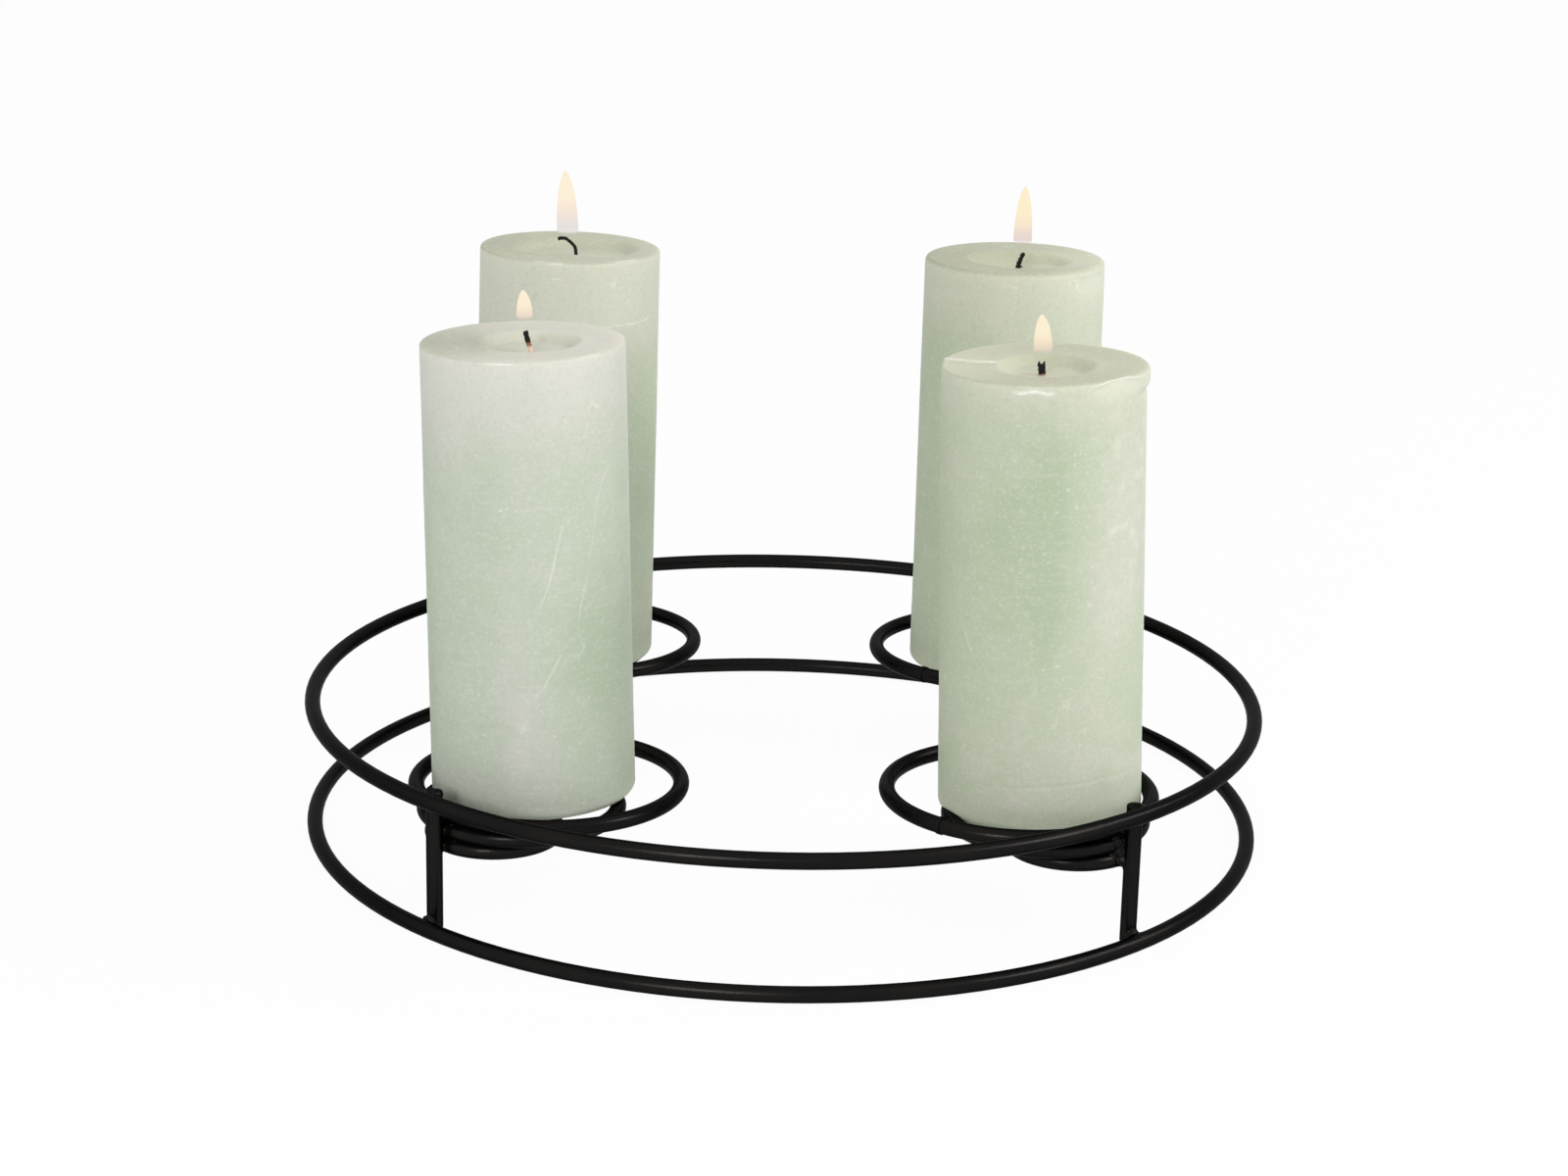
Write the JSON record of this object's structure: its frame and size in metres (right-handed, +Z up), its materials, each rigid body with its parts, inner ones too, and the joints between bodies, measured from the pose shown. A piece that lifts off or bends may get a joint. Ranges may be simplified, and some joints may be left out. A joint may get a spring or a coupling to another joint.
{
  "type": "advent candle holder",
  "caption": "Low wreath frame of black round wire: two large rings joined by posts, with stacked wire rings that carry pillar candles, shown lit.",
  "frame": {"origin": "centre of the two large rings, at table height", "axes": "+X to the right, +Y to the back, +Z up; the picture's camera looks along +Y from above"},
  "size_m": [0.35, 0.35, 0.226],
  "materials": {
    "wire": "satin near-black powder coat",
    "wax": null,
    "wick": "charred cotton",
    "flame": "glowing flame, cream above and clear below"
  },
  "bodies": {
    "frame": {"bottom_ring": "wire", "top_ring": "wire", "post_front_left": "wire", "post_front_right": "wire", "post_back_right": "wire", "post_back_left": "wire", "guard_ring_front_left": "wire", "guard_ring_front_right": "wire", "guard_ring_back_right": "wire", "guard_ring_back_left": "wire", "seat_ring_front_left": "wire", "seat_ring_front_right": "wire", "seat_ring_back_right": "wire", "seat_ring_back_left": "wire", "lower_ring_front_left": "wire", "lower_ring_front_right": "wire", "lower_ring_back_right": "wire", "lower_ring_back_left": "wire"},
    "candle_front_left": {"candle_front_left": "wax", "wick_front_left": "wick", "flame_front_left": "flame"},
    "candle_front_right": {"candle_front_right": "wax", "wick_front_right": "wick", "flame_front_right": "flame"},
    "candle_back_right": {"candle_back_right": "wax", "wick_back_right": "wick", "flame_back_right": "flame"},
    "candle_back_left": {"candle_back_left": "wax", "wick_back_left": "wick", "flame_back_left": "flame"}
  },
  "joints": [
    {"name": "lift_candle_front_left", "type": "slide", "parent": "frame", "child": "candle_front_left", "axis": [0, 0, 1], "range_m": [0, 0.06]},
    {"name": "lift_candle_front_right", "type": "slide", "parent": "frame", "child": "candle_front_right", "axis": [0, 0, 1], "range_m": [0, 0.06]},
    {"name": "lift_candle_back_right", "type": "slide", "parent": "frame", "child": "candle_back_right", "axis": [0, 0, 1], "range_m": [0, 0.06]},
    {"name": "lift_candle_back_left", "type": "slide", "parent": "frame", "child": "candle_back_left", "axis": [0, 0, 1], "range_m": [0, 0.06]}
  ]
}
